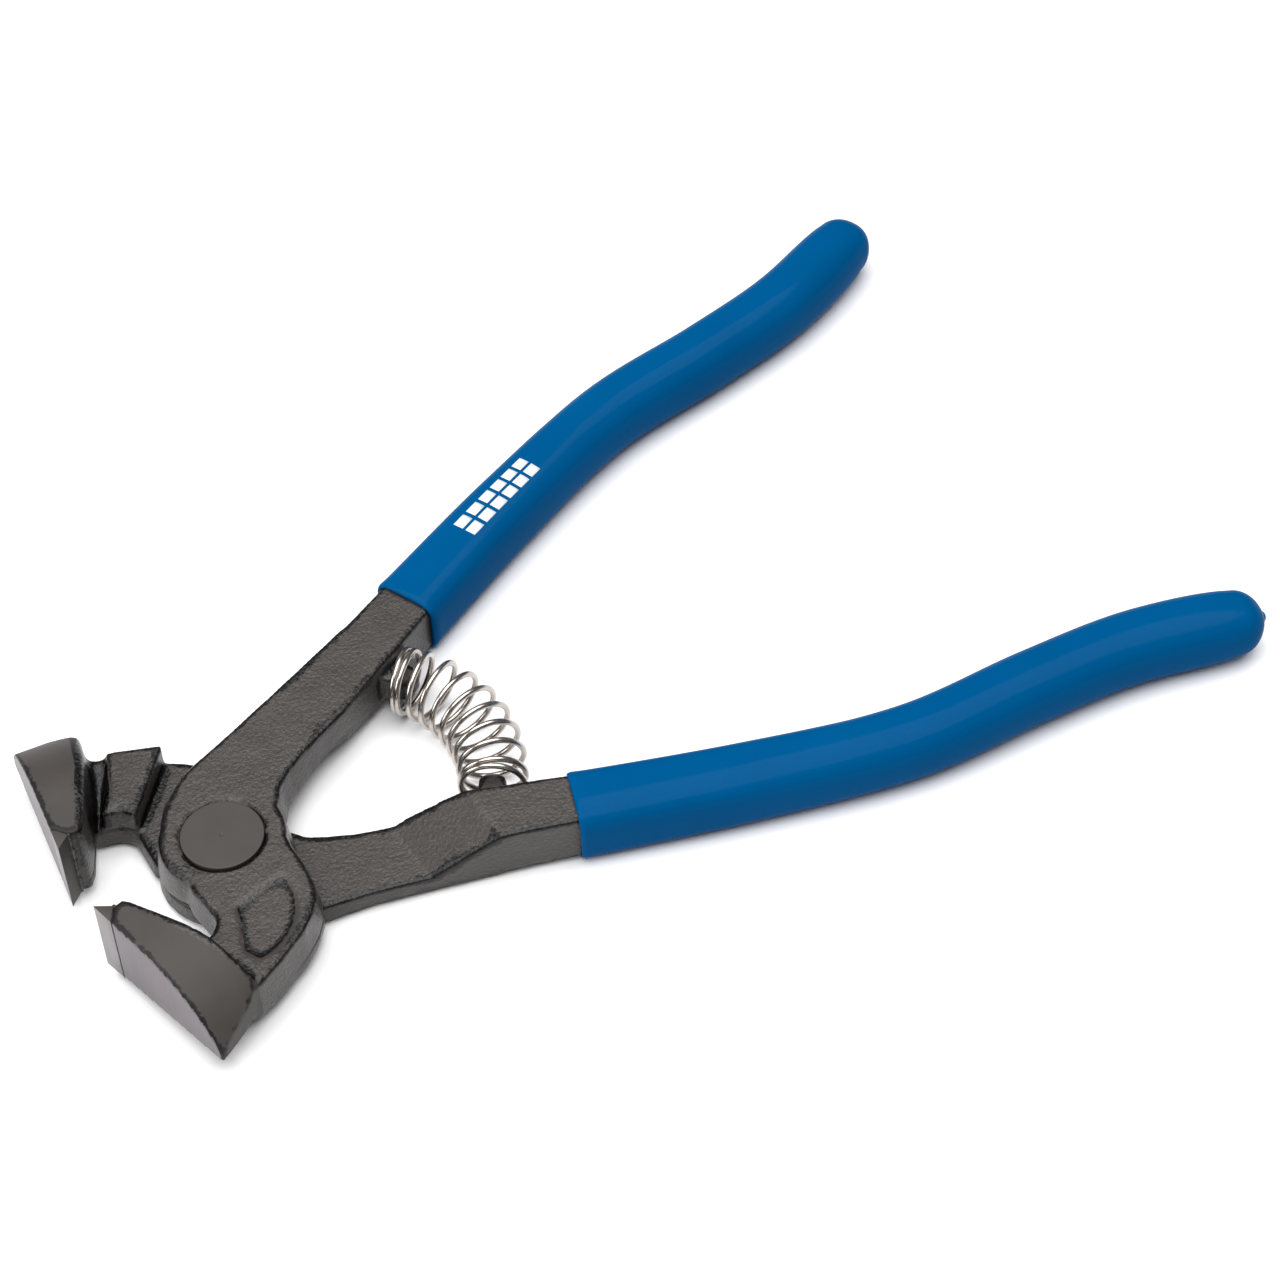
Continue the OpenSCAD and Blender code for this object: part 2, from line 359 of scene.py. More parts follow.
vinylLook = {
    "deep": (0.0, 0.062, 0.18, 1), "body": (0.0, 0.075, 0.215, 1),
    "waveScale": 60.0, "waveDetail": 1.0, "grainScale": 1400.0, "grainShare": 0.012,
    "rough": (0.14, 0.24), "specular": 0.05, "ior": 1.12, "coat": 0.03, "coatRoughness": 0.07,
    "depth": 0.0004, "strength": 0.25,
}


def dippedVinyl(look):
    # smooth dipped skin: slow waves from the draining, hardly any grain
    material, tree, shader = startMaterial("dippedVinyl")
    where = objectCoords(tree)
    waves = noiseTexture(tree, where, look["waveScale"], look["waveDetail"]).outputs["Fac"]
    grain = noiseTexture(tree, where, look["grainScale"]).outputs["Fac"]
    tree.links.new(mixColour(tree, waves, look["deep"], look["body"]), shader.inputs["Base Color"])
    tree.links.new(ranged(tree, grain, look["rough"]), shader.inputs["Roughness"])
    shader.inputs["Specular IOR Level"].default_value = look["specular"]
    shader.inputs["IOR"].default_value = look["ior"]
    shader.inputs["Coat Weight"].default_value = look["coat"]
    shader.inputs["Coat Roughness"].default_value = look["coatRoughness"]
    height = calculate(tree, "MULTIPLY_ADD", grain, look["grainShare"], waves)
    addBump(tree, shader, height, look["strength"], look["depth"])
    return material


inkLook = {"thin": (0.62, 0.68, 0.74, 1), "full": (0.9, 0.92, 0.94, 1), "coverScale": 1800.0, "rough": 0.35}


def printedInk(look):
    material, tree, shader = startMaterial("printedInk")
    cover = noiseTexture(tree, objectCoords(tree), look["coverScale"]).outputs["Fac"]
    tree.links.new(mixColour(tree, cover, look["thin"], look["full"]), shader.inputs["Base Color"])
    shader.inputs["Roughness"].default_value = look["rough"]
    return material


finishes = {
    "forged": lacquer("forgedLacquer", lacquerLook),
    "smooth": lacquer("smoothLacquer", smoothLook),
    "ground": groundSteel("groundFace", groundLook),
    "carbide": groundSteel("carbideFace", carbideLook),
    "braze": lacquer("darkBraze", brazeFinish),
    "wire": springWire(wireLook),
    "vinyl": dippedVinyl(vinylLook),
    "ink": printedInk(inkLook),
}
print("materials made")

# the jaws' sizes in millimetres, along the front face and back from it
jaw = {
    "open": 29.4, "skew": 3.3, "edgeRadius": 27.2, "lean": 9.9,
    "lift": 3.8, "edgeWidth": 16.4, "faceLength": 31.5,
    "cornerHeight": -0.4, "shoulder": 11.0, "crownSteps": 28, "crownPower": 1.25,
    "tipLength": 4.6, "tipBevel": (2.3, 2.4), "tipRound": 0.09, "tipSharp": 25, "braze": 0.15,
    "back": [(2.3, 4.2), (3.7, 5.2), (9, 7.2), (16.2, 9.8), (19.6, 10.6), (24, 11.2),
             (26.4, 11.5), (27.9, 10.6), (28.8, 8.9), (29.6, 6.4)],
}
jawTop = jaw["lift"] + jaw["edgeWidth"] / 2
jawLow = jaw["lift"] - jaw["edgeWidth"] / 2


def jawPlace(side):
    # X runs out along the jaw's front face, Y runs back from it, in millimetres
    angle = math.radians(180 - side * jaw["skew"] + jaw["open"] / 2)
    radius = jaw["edgeRadius"]
    edge = Vector((radius * math.cos(angle), radius * math.sin(angle), 0))
    local = Matrix.Translation(edge) @ Matrix.Rotation(math.radians(jaw["lean"] - 90), 4, "Z")
    return fromMm(levels["gripMiddle"]) @ Matrix.Diagonal((1, side, 1, 1)) @ local


def prism(outline, low, high):
    bm = bmesh.new()
    base = bm.faces.new([bm.verts.new((x, y, low)) for x, y in outline])
    raised = bmesh.ops.extrude_face_region(bm, geom=[base])
    for v in raised["geom"]:
        if isinstance(v, bmesh.types.BMVert):
            v.co.z = high
    bmesh.ops.recalc_face_normals(bm, faces=bm.faces)
    return bm


def cutAway(bm, point, normal):
    geom = list(bm.verts) + list(bm.edges) + list(bm.faces)
    bmesh.ops.bisect_plane(bm, geom=geom, plane_co=point, plane_no=normal, clear_outer=True, dist=1e-6)
    rim = [e for e in bm.edges if e.is_boundary]
    if rim:
        bmesh.ops.contextual_create(bm, geom=rim)


def crownPoint(i):
    a = math.radians(90 * i / jaw["crownSteps"])
    drop = max(math.cos(a), 0) ** jaw["crownPower"]
    return (jaw["shoulder"] + (jaw["faceLength"] - jaw["shoulder"]) * math.sin(a),
            jaw["cornerHeight"] + (jawTop - jaw["cornerHeight"]) * drop)


def frontPrism(outline):
    # a prism cut to the jaw's front outline: curved top, rising underside
    bm = prism(outline, jawLow - 1, jawTop)
    crown = [crownPoint(i) for i in range(jaw["crownSteps"] + 1)]
    for (x0, z0), (x1, z1) in zip(crown, crown[1:]):
        cutAway(bm, (x0, 0, z0), (z0 - z1, 0, x1 - x0))
    rise = jaw["cornerHeight"] - jawLow
    cutAway(bm, (0, 0, jawLow), (rise, 0, -jaw["faceLength"]))
    bmesh.ops.recalc_face_normals(bm, faces=bm.faces)
    return bm


def makeJaw():
    gap = jaw["braze"]
    bevelX, bevelY = jaw["tipBevel"]
    notch = [(jaw["tipLength"] + gap, 0), (bevelX + gap, bevelY)]
    return frontPrism([*notch, *jaw["back"], (jaw["faceLength"], 0)])


def makeTip():
    bm = frontPrism([(0, 0), jaw["tipBevel"], (jaw["tipLength"], 0)])
    bmesh.ops.bevel(bm, geom=list(bm.edges), offset=jaw["tipRound"], affect="EDGES", segments=2,
                    profile=0.5, material=-1)
    for face in bm.faces:
        face.material_index = 1 if face.normal.y < -0.9 else 0
    return bm


braze = {
    "seed": 40, "bead": 0.34, "sizes": (0.55, 0.9), "ragged": 0.22, "rings": 46, "sides": 10,
    "inset": 0.1, "frontInset": 0.04, "lowInset": 0.25, "topInset": 0.1,
}


def makeBraze(side, look):
    # a thin filled joint with an uneven bead in the notch behind the carbide
    rng = random.Random(look["seed"] + side)
    low = jawLow + look["lowInset"]
    top = jawTop - look["topInset"]
    bx, by = jaw["tipBevel"]
    gap, front = jaw["braze"], look["frontInset"]
    end = jaw["tipLength"]
    bm = prism([(bx, by), (bx + gap, by), (end + gap, front), (end, front)], low, top)
    step = (top - low) / look["rings"]
    least, more = look["sizes"]
    sizes = [look["bead"] * (least + more * rng.random()) for _ in range(look["rings"] + 1)]
    wobbles = [[1 + look["ragged"] * (rng.random() - 0.5) for _ in range(look["sides"])] for _ in sizes]

    def beadSpot(ring, angle):
        size = sizes[ring] * wobbles[ring][round(angle / (2 * math.pi) * look["sides"])]
        x = bx + look["inset"] + size * math.cos(angle)
        y = by + look["inset"] + size * math.sin(angle)
        return Vector((x, y, low + step * ring))

    joinInto(bm, tube(look["sides"], look["rings"] + 1, beadSpot))
    return bm


def addTips():
    for name, side in sides.items():
        tip = makeTip()
        joint = makeBraze(side, braze)
        for bm in (tip, joint):
            putInPlace(bm, jawPlace(side))
        made = newPiece(name + "_carbide", tip, [finishes["smooth"], finishes["carbide"]])
        sharpen(made, jaw["tipSharp"])
        place(made, arms[name], "carbide", name + "_carbide_tip")
        made = newPiece(name + "_braze", joint, [finishes["braze"]])
        place(made, arms[name], "braze", name + "_braze_layer")
    print("tips made")


# forged levers: places in millimetres, spans as (start, end) of a fade
lever = {
    "voxel": 0.35 if fine else 0.45,
    "crisp": (2.5, 6.0), "soften": {"times": 9, "least": 0.08, "more": 0.42},
    "groove": {"front": (6.5, 9.5), "back": (15, 12), "along": (3, 40), "under": 1},
    "innerCorner": {"spot": (-9.7, -5.0), "reach": 1.8},
    "roundOff": {"times": 45, "share": 0.5},
    "jawBack": ((2, 9, 16.2, 24, 28), (5, 7, 9.7, 11, 11.4)),
    # painted shadow in the groove behind the jaw and at the rivet's rim, and less painted shade on the slope
    "paintedShadow": {"front": (-1.8, -1.2), "back": (3.6, 3.0), "least": 0.1, "weight": 1.8},
    "grooveShadowEnd": {"front": 21, "rear": 40},
    "rim": {"radius": (8.15, 7.85), "toward": (-0.3, -0.95), "facing": (0.1, 0.4), "weight": 2.4},
    "slope": {"along": (24, 39), "weight": 0.3},
    "crease": {"times": 30, "share": 0.9, "depth": 0.34},
    "lap": {"depth": 0.12, "lift": 0.05},
    "waves": {"height": 0.05, "scale": 260.0, "end": 60},
    "draft": {"front": (11.0, 3.95, 0.0, 1.0), "rear": (3.95, 0.15, 0.4, 1.3)},  # heights, how far out there
    "draftReach": (19.0, 27.0),
    "groundDepth": 0.25, "groundFacing": 0.9,
    "smooth": {"along": (-1, 40), "rise": 0.3, "start": 3.2, "back": 11.5},
}


def fade(values, span):
    # 0 at the span's start, 1 at its end
    start, end = span
    return np.clip((values - start) / (end - start), 0, 1)


def within(values, span):
    return (values > span[0]) * (values < span[1])


def meshArrays(mesh):
    count = len(mesh.vertices)
    points = np.empty(count * 3, np.float64)
    mesh.vertices.foreach_get("co", points)
    normals = np.empty(count * 3, np.float64)
    mesh.vertices.foreach_get("normal", normals)
    edges = np.empty(len(mesh.edges) * 2, np.int64)
    mesh.edges.foreach_get("vertices", edges)
    return points.reshape(-1, 3), normals.reshape(-1, 3), edges[0::2], edges[1::2]


def relaxed(points, a, b, times, share):
    # moves every point towards the middle of its neighbours, by its own share
    count = len(points)
    degree = np.bincount(np.concatenate([a, b]), minlength=count)[:, None]
    smooth = points.copy()
    for _ in range(times):
        total = np.zeros_like(smooth)
        for axis in range(3):
            total[:, axis] = np.bincount(a, smooth[b, axis], count) + np.bincount(b, smooth[a, axis], count)
        smooth += (total / degree - smooth) * share
    return smooth


def leverSkin(name):
    # the CAD lever and its finely cut jaw in one even skin
    bm = bmesh.new()
    bm.from_mesh(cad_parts[name + "_lever"].data)
    bmesh.ops.remove_doubles(bm, verts=bm.verts, dist=1e-6)
    steel = makeJaw()
    putInPlace(steel, jawPlace(sides[name]))
    joinInto(bm, steel)
    piece = newPiece(name + "_forging", bm, [])
    remesh = piece.modifiers.new("remesh", "REMESH")
    remesh.mode = "VOXEL"
    remesh.voxel_size = lever["voxel"] * mm
    bake(piece)
    return piece


def softenForging(name, mesh):
    # ground jaw faces stay crisp, the rest takes the rounded edges of a forging
    points, _, a, b = meshArrays(mesh)
    inJaw = jawPlace(sides[name]).inverted()
    local = points @ np.array(inJaw.to_3x3()).T + np.array(inJaw.translation)
    behind = fade(local[:, 1], lever["crisp"])
    soften, roundOff, groove = lever["soften"], lever["roundOff"], lever["groove"]
    share = soften["least"] + soften["more"] * behind[:, None]
    points = relaxed(points, a, b, soften["times"], share)
    x, y, z = local.T
    grooved = fade(y, groove["front"]) * fade(y, groove["back"]) * within(x, groove["along"])
    grooved = grooved * (sides[name] * z < groove["under"])
    offset = points[:, :2] / mm - lever["innerCorner"]["spot"]
    corner = np.exp(-(offset ** 2).sum(1) / (2 * lever["innerCorner"]["reach"] ** 2)) * (name == "front")
    share = roundOff["share"] * np.maximum(grooved, corner)[:, None]
    points = relaxed(points, a, b, roundOff["times"], share)
    mesh.vertices.foreach_set("co", points.ravel())
    mesh.update()
    return points, local, behind, grooved


def paintedGrooveAndRimShadow(name, points, local, grooved):
    # painted shadow in the groove behind the jaw and along one side of the rivet's rim, with less painted
    # shade on the slope
    look, rim, slope = lever["paintedShadow"], lever["rim"], lever["slope"]
    x, y = local[:, 0], local[:, 1]
    behindJaw = y - np.interp(x, *lever["jawBack"])
    paintedShadow = fade(behindJaw, look["front"]) * fade(behindJaw, look["back"])
    paintedShadow = paintedShadow * (grooved > look["least"]) * (x < lever["grooveShadowEnd"][name])
    flat = points[:, :2] / mm
    radius = np.hypot(*flat.T)
    toward = flat @ np.array(rim["toward"]) / np.maximum(radius, 1)
    rimShadow = fade(radius, rim["radius"]) * fade(toward, rim["facing"])
    sloped = within(flat[:, 0], slope["along"])
    return paintedShadow * look["weight"] + rimShadow * rim["weight"] - sloped * slope["weight"]


def creaseMask(mesh, paintedShadow):
    # how far a strong smoothing would move each point outwards: hollows positive, edges negative
    look = lever["crease"]
    points, normals, a, b = meshArrays(mesh)
    moved = ((relaxed(points, a, b, look["times"], look["share"]) - points) * normals).sum(1)
    # the painted shadows are added here; the attribute drives the painted shade in hollows and the painted
    # dark reflection on edges
    values = np.clip(moved / (look["depth"] * mm) + paintedShadow, -1, 1)
    attribute = mesh.attributes.new("crease", "FLOAT", "POINT")
    attribute.data.foreach_set("value", values.astype(np.float32))


def draftMove(v, draft):
    # the walls near the pivot spread towards their lower edges
    high, low, atHigh, atLow = draft
    near, distant = lever["draftReach"]
    share = min(max((high - v.co.z / mm) / (high - low), 0), 1)
    reach = min(max((distant - v.co.xy.length / mm) / (distant - near), 0), 1)
    return Vector((v.normal.x, v.normal.y, 0)) * (atHigh + (atLow - atHigh) * share) * reach * mm


def shapeWalls(name, mesh, behind):
    # clears the lap joint, then adds the forging's draft and slow waves
    lap, waves = lever["lap"], lever["waves"]
    bm = bmesh.new()
    bm.from_mesh(mesh)
    bm.normal_update()
    for v, soft in zip(bm.verts, behind):
        if abs(v.co.z - levels["lap"]) < lap["depth"] * mm:
            v.co.z += sides[name] * lap["lift"] * mm
            continue
        if v.co.x < waves["end"] * mm:
            v.co += v.normal * noise.noise(v.co * waves["scale"]) * waves["height"] * soft * mm
        v.co += draftMove(v, lever["draft"][name]) * soft
    bm.to_mesh(mesh)
    bm.free()


def paintLever(name, mesh):
    # ground front face, smooth jaw sides, wrinkled lacquer elsewhere
    smooth = lever["smooth"]
    mesh.materials.clear()
    for finish in ("forged", "smooth", "ground"):
        mesh.materials.append(finishes[finish])
    inJaw = jawPlace(sides[name]).inverted()
    front = (inJaw.to_3x3().inverted() @ Vector((0, -1, 0))).normalized()
    for face in mesh.polygons:
        face.use_smooth = True
        spot = inJaw @ face.center
        nearJaw = spot.y < smooth["rise"] * spot.x + smooth["start"] and spot.y < smooth["back"]
        if spot.y < lever["groundDepth"] and face.normal.dot(front) > lever["groundFacing"]:
            face.material_index = 2
        elif nearJaw and within(spot.x, smooth["along"]):
            face.material_index = 1
        else:
            face.material_index = 0


def makeLever(name):
    piece = leverSkin(name)
    mesh = piece.data
    points, local, behind, grooved = softenForging(name, mesh)
    creaseMask(mesh, paintedGrooveAndRimShadow(name, points, local, grooved))
    shapeWalls(name, mesh, behind)
    paintLever(name, mesh)
    place(piece, arms[name], "lacquered_steel", name + "_lever")


rivet = {
    "radius": 7.2, "shank": 4.5, "headDepth": 1.65, "chamfer": 0.14, "edgeDrop": 0.03,
    "prick": (0.45, 0.12), "prickLip": 0.3, "steps": 96, "sharp": 6,
}


def makeRivet(look):
    # two flat heads with a centre mark, turned about the pivot
    half = (levels["rivetFront"] - levels["rivetBack"]) / mm / 2
    neck = half - look["headDepth"]
    radius, chamfer = look["radius"], look["chamfer"]
    wide, deep = look["prick"]
    profile = [(0, half - deep), (wide * 0.5, half - deep * 0.7), (wide, half),
               (wide + look["prickLip"], half), (radius - chamfer * 2, half),
               (radius - chamfer * 0.4, half - look["edgeDrop"]),
               (radius, half - chamfer), (radius, neck), (look["shank"], neck)]
    outline = profile + [(x, -z) for x, z in reversed(profile)]
    bm = bmesh.new()
    verts = [bm.verts.new((x, 0, z)) for x, z in outline]
    line = [bm.edges.new(pair) for pair in zip(verts, verts[1:])]
    bmesh.ops.spin(bm, geom=verts + line, cent=(0, 0, 0), axis=(0, 0, 1), angle=2 * math.pi,
                   steps=look["steps"], use_merge=True)
    bmesh.ops.remove_doubles(bm, verts=bm.verts, dist=1e-5)
    middle = (levels["rivetFront"] + levels["rivetBack"]) / 2
    putInPlace(bm, fromMm(middle))
    piece = newPiece("rivet_head", bm, [finishes["smooth"]])
    sharpen(piece, look["sharp"])
    place(piece, "rear_arm", "rivet_steel", "pivot_rivet")


spring = {
    "wire": 1.1, "coils": 11, "endRadius": 5.6, "midRadius": 6.2, "endCoils": 1.7, "endPitch": 1.18,
    "seat": (44.6, 15.2), "seatTurn": 38.0, "lift": 0.6, "perCoil": 40, "reach": 21,
}


def coilPoint(c, look):
    # a place on the wire after c coils: close coils at both ends, open ones along the arc between them
    turnEnd = math.radians(look["seatTurn"])
    arc = look["seat"][1] / math.sin(turnEnd)
    centre = look["seat"][0] - arc * math.cos(turnEnd)
    total = 2 * turnEnd * arc
    ends, pitch = look["endCoils"], look["endPitch"]
    openPitch = (total - 2 * ends * pitch) / (look["coils"] - 2 * ends)
    if c < ends:
        run = c * pitch
    elif c > look["coils"] - ends:
        run = total - (look["coils"] - c) * pitch
    else:
        run = ends * pitch + (c - ends) * openPitch
    turn = turnEnd - run / arc
    grow = math.sin(math.pi * c / look["coils"]) ** 2
    r = look["endRadius"] + (look["midRadius"] - look["endRadius"]) * grow
    a = 2 * math.pi * c
    radial = arc + r * math.cos(a)
    return Vector((centre + radial * math.cos(turn), radial * math.sin(turn), look["lift"] + r * math.sin(a)))


def makeSpring(look):
    count = look["coils"] * look["perCoil"]
    path = [coilPoint(k / look["perCoil"], look) for k in range(count + 1)]
    curve = bpy.data.curves.new("springPath", "CURVE")
    curve.dimensions = "3D"
    curve.bevel_depth = look["wire"] / 2 * mm
    curve.bevel_resolution = 3
    curve.use_fill_caps = True
    line = curve.splines.new("POLY")
    line.points.add(count)
    for point, spot in zip(line.points, path):
        point.co = (spot.x * mm, spot.y * mm, spot.z * mm + levels["gripMiddle"], 1)
    holder = bpy.data.objects.new("springPath", curve)
    bpy.context.scene.collection.objects.link(holder)
    bpy.context.view_layer.update()
    mesh = bpy.data.meshes.new_from_object(holder)
    bpy.data.objects.remove(holder)
    bm = bmesh.new()
    bm.from_mesh(mesh)
    bmesh.ops.remove_doubles(bm, verts=bm.verts, dist=1e-7)
    bmesh.ops.recalc_face_normals(bm, faces=bm.faces)
    piece = newPiece("coil_spring", bm, [finishes["wire"]])
    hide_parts("return_spring")
    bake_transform(piece)
    print("spring made")


# the grips in millimetres; shares run from 0 at the cuff to 1 at the tip
grip = {
    "line": [(54, 28), (82, 39), (110, 48), (135, 50.6), (155, 53.6), (173.6, 59.8)],
    "halfWidth": 6.4, "halfHeight": 6.3, "flare": 0.3, "squares": (3.4, 2.3), "taper": (0.88, 0.1),
    "tangStart": (5.35, 4.92), "tangEnd": (3.65, 3.3), "tangShare": 0.93, "tangSquare": 7.0,
    "cuff": 0.35, "cuffReach": 2.2, "lipNarrow": 175,
    "tip": 5.9, "tipTurn": 86, "tipPower": 1.1,
    "sides": 40, "rings": 60, "tangRings": 20, "cuffRings": 8, "tipRings": 9,
    "nub": {"front": 0.0, "rear": 1.0}, "nubRings": ((0.3, 0.85), (0.5, 0.4)), "nubFoot": (-0.02, 1.1),
}


def lineAt(points, t):
    # Catmull-Rom curve, the same as the part's own handle line
    n = len(points) - 1
    s = min(int(t * n), n - 1)
    f = t * n - s
    a, b = Vector(points[max(s - 1, 0)]), Vector(points[s])
    c, d = Vector(points[s + 1]), Vector(points[min(s + 2, n)])
    bend = (2 * a - 5 * b + 4 * c - d) * f * f + (3 * b - a - 3 * c + d) * f ** 3
    return 0.5 * (2 * b + (c - a) * f + bend)


def lineFrame(t):
    # middle of the section, the way ahead and the way across
    mid = lineAt(grip["line"], t)
    ahead = (lineAt(grip["line"], min(t + 0.01, 1)) - lineAt(grip["line"], max(t - 0.01, 0))).normalized()
    return mid, ahead, Vector((-ahead.y, ahead.x))


def sectionPoint(t, ahead, width, height, square, angle):
    mid, forward, left = lineFrame(t)
    c, s = math.cos(angle), math.sin(angle)
    x = math.copysign(abs(c) ** (2 / square), c) * width
    z = math.copysign(abs(s) ** (2 / square), s) * height
    spot = mid + forward * ahead + left * x
    return Vector((spot.x, spot.y, z))


def outerSize(t):
    # half width, half height and squareness of the skin
    flare = grip["flare"] * max(0, 1 - 4 * t)
    start, amount = grip["taper"]
    slim = 1 - amount * max(0, (t - start) / (1 - start)) ** 2
    first, last = grip["squares"]
    square = first + (last - first) * min(1, 3 * t)
    return (grip["halfWidth"] + flare) * slim, grip["halfHeight"] * slim, square


def tangRings():
    # from the blind end inside out to the mouth
    rings = []
    (w0, h0), (w1, h1) = grip["tangStart"], grip["tangEnd"]
    for k in range(grip["tangRings"], -1, -1):
        share = k / grip["tangRings"]
        w, h = w0 + (w1 - w0) * share, h0 + (h1 - h0) * share
        rings.append((grip["tangShare"] * share, 0.0, w, h, grip["tangSquare"]))
    return rings


def cuffRings():
    # the rolled edge round the mouth
    rings = []
    w0, h0 = grip["tangStart"]
    w, h, square = outerSize(0)
    for k in range(1, grip["cuffRings"]):
        a = math.pi * k / grip["cuffRings"]
        share = (1 - math.cos(a)) / 2
        out = -math.sin(a) * grip["cuff"] * grip["cuffReach"]
        rings.append((0.0, out, w0 + (w - w0) * share, h0 + (h - h0) * share,
                      grip["tangSquare"] + (square - grip["tangSquare"]) * share))
    return rings


def skinRings():
    rings = []
    for k in range(grip["rings"] + 1):
        t = k / grip["rings"]
        w, h, square = outerSize(t)
        lip = grip["cuff"] * 0.5 * math.exp(-(t * grip["lipNarrow"]) ** 2 / 3)
        rings.append((t, 0.0, w + lip, h, square))
    return rings


def tipRings(nub):
    # the rounded tip, with the drip that ran off as the grip was pulled from the bath
    rings = []
    w, h, square = outerSize(1)
    for k in range(1, grip["tipRings"] + 1):
        a = math.radians(grip["tipTurn"] * k / grip["tipRings"])
        narrow = math.cos(a) ** grip["tipPower"]
        rings.append((1.0, (grip["tip"] - 0.5 * nub) * math.sin(a), w * narrow, h * narrow, square))
    if nub:
        reach = rings.pop()[1]
        steps = [(nub * share, radius) for share, radius in grip["nubRings"]]
        for ahead, radius in (grip["nubFoot"], *steps):
            rings.append((1.0, reach + ahead, radius, radius, 2))
    return rings


def makeGrip(name):
    rings = tangRings() + cuffRings() + skinRings() + tipRings(grip["nub"][name])
    bm = tube(grip["sides"], len(rings), lambda k, angle: sectionPoint(*rings[k], angle))
    putInPlace(bm, fromMm(levels["gripMiddle"]) @ Matrix.Diagonal((1, sides[name], 1, 1)))
    piece = newPiece(name + "_sleeve", bm, [finishes["vinyl"]])
    divide = piece.modifiers.new("round", "SUBSURF")
    divide.levels = 1
    divide.render_levels = 1
    place(piece, arms[name], "dipped_grip", name + "_grip")


mark = {
    "start": 0.135, "rows": 2, "columns": 6, "cuts": 3,
    "tile": 2.1, "gap": 0.6, "thick": 0.03, "sunk": 0.005,
}


def lineLength(steps=200):
    spots = [lineAt(grip["line"], k / steps) for k in range(steps + 1)]
    return sum((b - a).length for a, b in zip(spots, spots[1:]))


def makeMark(look):
    # two plain rows of small tiles printed on the front grip
    length = lineLength()
    bm = bmesh.new()
    step = look["tile"] + look["gap"]
    for row in range(look["rows"]):
        for column in range(look["columns"]):
            tile = bmesh.ops.create_grid(bm, x_segments=look["cuts"], y_segments=look["cuts"], size=0.5)
            for v in tile["verts"]:
                along = (column + v.co.x) * step - v.co.x * look["gap"]
                across = (row + v.co.y - (look["rows"] - 1) / 2) * step - v.co.y * look["gap"]
                v.co = onGrip(look["start"] + along / length, across, look["sunk"])
    bmesh.ops.recalc_face_normals(bm, faces=bm.faces)
    bmesh.ops.solidify(bm, geom=bm.faces[:], thickness=-look["thick"])
    bmesh.ops.recalc_face_normals(bm, faces=bm.faces)
    bmesh.ops.transform(bm, matrix=fromMm(levels["gripMiddle"]), verts=bm.verts)
    place(newPiece("printed_tiles", bm, [finishes["ink"]]), "front_arm", "dipped_grip")


def onGrip(t, across, sunk):
    # the grip's upper surface at a distance across it
    width, height, square = outerSize(t)
    high = height * (1 - abs(across / width) ** square) ** (1 / square)
    mid, _, left = lineFrame(t)
    spot = mid + left * across
    return Vector((spot.x, spot.y, high - sunk))


addTips()
for leverName in sides:
    makeLever(leverName)
print("levers made")
makeRivet(rivet)
makeSpring(spring)
for gripName in sides:
    makeGrip(gripName)
makeMark(mark)
print("grips made")

# floor, light and camera: metres, watts and degrees, apart from the gap in millimetres
studio = {
    "floorGap": 0.05, "floorSize": 8.0, "floorShade": (0.93, 0.93, 0.94, 1), "floorRough": 0.6,
    "room": 0.14, "backdrop": 1.0,
    "overhead": {"strength": 4.2, "spread": 68.0},
    "side": {"spot": (-0.95, 0.25, 0.5), "size": 0.7, "power": 7.0},
}
camera = {
    "spot": (-0.1324, -0.3510, 0.48965), "lens": 99.6, "sensor": 36,
    "pitch": 49.62, "roll": -2.77, "heading": 31.84,
}


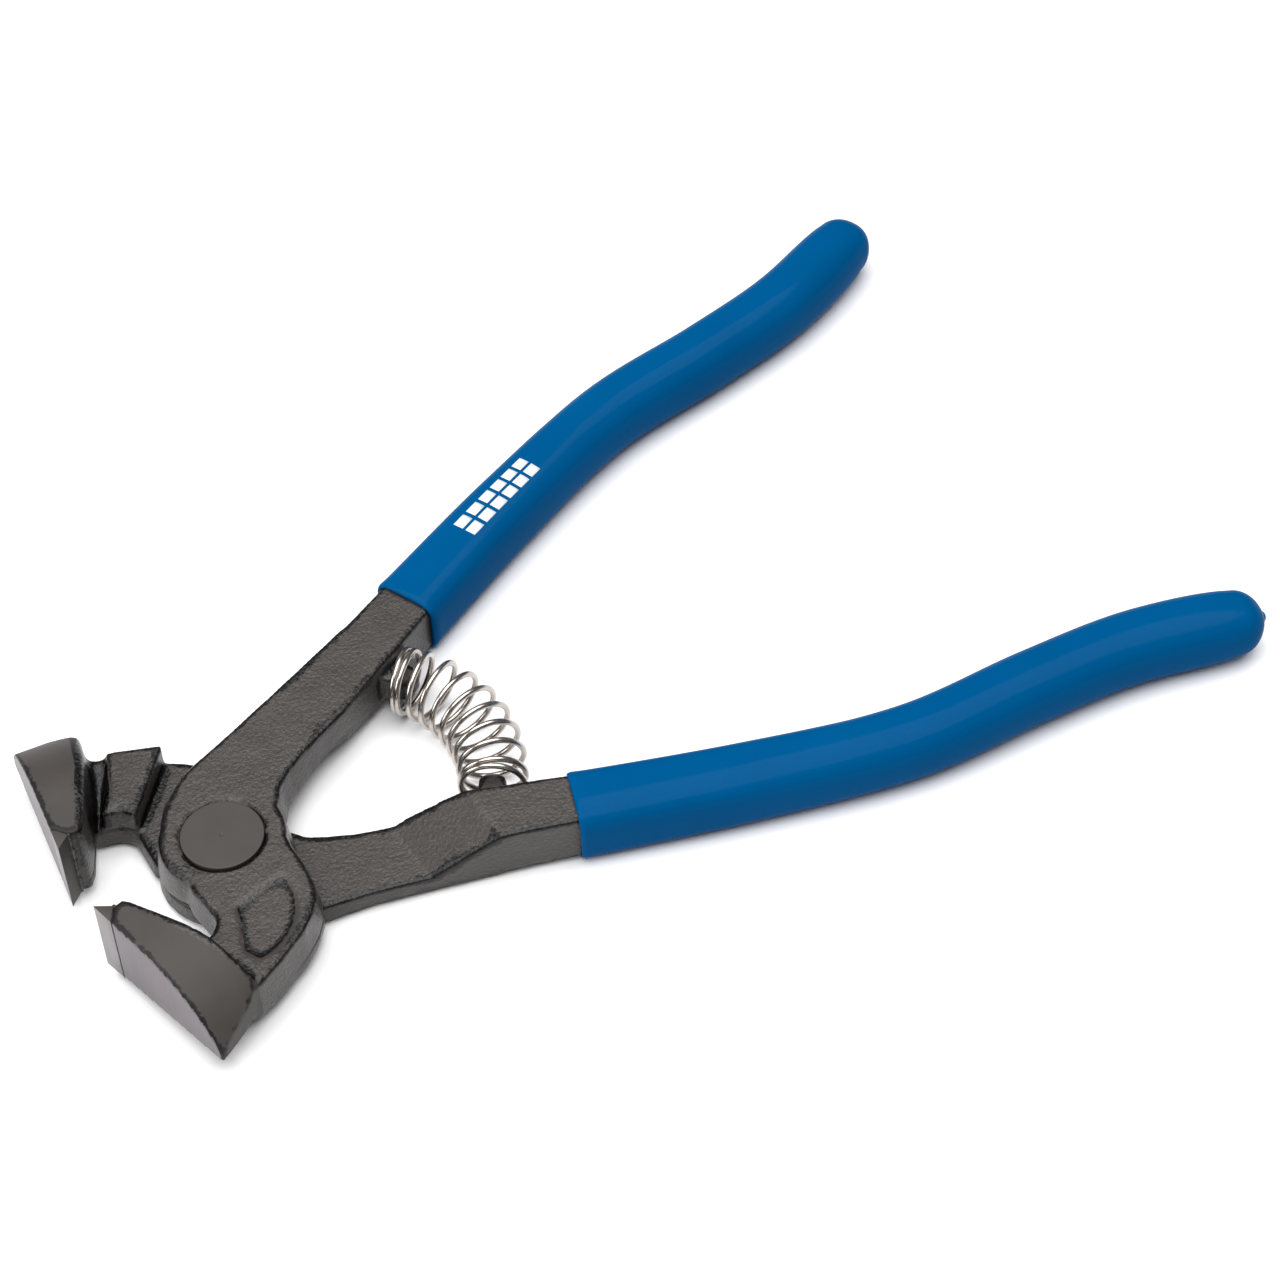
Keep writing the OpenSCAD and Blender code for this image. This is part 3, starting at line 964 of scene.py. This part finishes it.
def makeFloor(look):
    bm = bmesh.new()
    bmesh.ops.create_grid(bm, x_segments=4, y_segments=4, size=look["floorSize"] / 2)
    lowest = min(cadBox[0][2], 0) - look["floorGap"] * mm
    bmesh.ops.translate(bm, verts=bm.verts, vec=(0, 0, lowest))
    material, _, shader = startMaterial("paleFloor")
    shader.inputs["Base Color"].default_value = look["floorShade"]
    shader.inputs["Roughness"].default_value = look["floorRough"]
    newPiece("floor", bm, [material])


def makeLamps(look):
    sun = bpy.data.lights.new("overhead", "SUN")
    sun.energy = look["overhead"]["strength"]
    sun.angle = math.radians(look["overhead"]["spread"])
    side = bpy.data.lights.new("side", "AREA")
    side.shape = "DISK"
    side.size = look["side"]["size"]
    side.energy = look["side"]["power"]
    spot = Vector(look["side"]["spot"])
    for lamp, where in ((sun, Vector((0, 0, 1))), (side, spot)):
        holder = bpy.data.objects.new(lamp.name, lamp)
        holder.location = where
        holder.rotation_euler = (-where).to_track_quat("-Z", "Y").to_euler()
        bpy.context.scene.collection.objects.link(holder)


def makeRoom(look):
    # a dim room for the light, a pale one behind the object
    world = bpy.data.worlds.new("paleRoom")
    world.use_nodes = True
    tree = world.node_tree
    background = tree.nodes["Background"]
    background.inputs["Color"].default_value = (1, 1, 1, 1)
    path = tree.nodes.new("ShaderNodeLightPath")
    strength = ranged(tree, path.outputs["Is Camera Ray"], (look["room"], look["backdrop"]))
    tree.links.new(strength, background.inputs["Strength"])
    bpy.context.scene.world = world
    bpy.context.scene.view_settings.view_transform = "Standard"


def makeCamera(look):
    # heading turns from +Y towards +X, pitch looks down, roll tips the horizon
    pitch, roll, heading = (math.radians(look[k]) for k in ("pitch", "roll", "heading"))
    ahead = Vector((0, math.cos(pitch), -math.sin(pitch)))
    across = Vector((1, 0, 0))
    above = Vector((0, math.sin(pitch), math.cos(pitch)))
    right = across * math.cos(roll) + above * math.sin(roll)
    up = above * math.cos(roll) - across * math.sin(roll)
    basis = Matrix((right, up, -ahead)).transposed()
    turned = Matrix.Rotation(-heading, 3, "Z") @ basis
    data = bpy.data.cameras.new("view")
    data.lens = look["lens"]
    data.sensor_width = look["sensor"]
    holder = bpy.data.objects.new("view", data)
    holder.matrix_world = Matrix.Translation(look["spot"]) @ turned.to_4x4()
    bpy.context.scene.collection.objects.link(holder)
    bpy.context.scene.camera = holder


makeFloor(studio)
makeLamps(studio)
makeRoom(studio)
makeCamera(camera)
print("stage made")
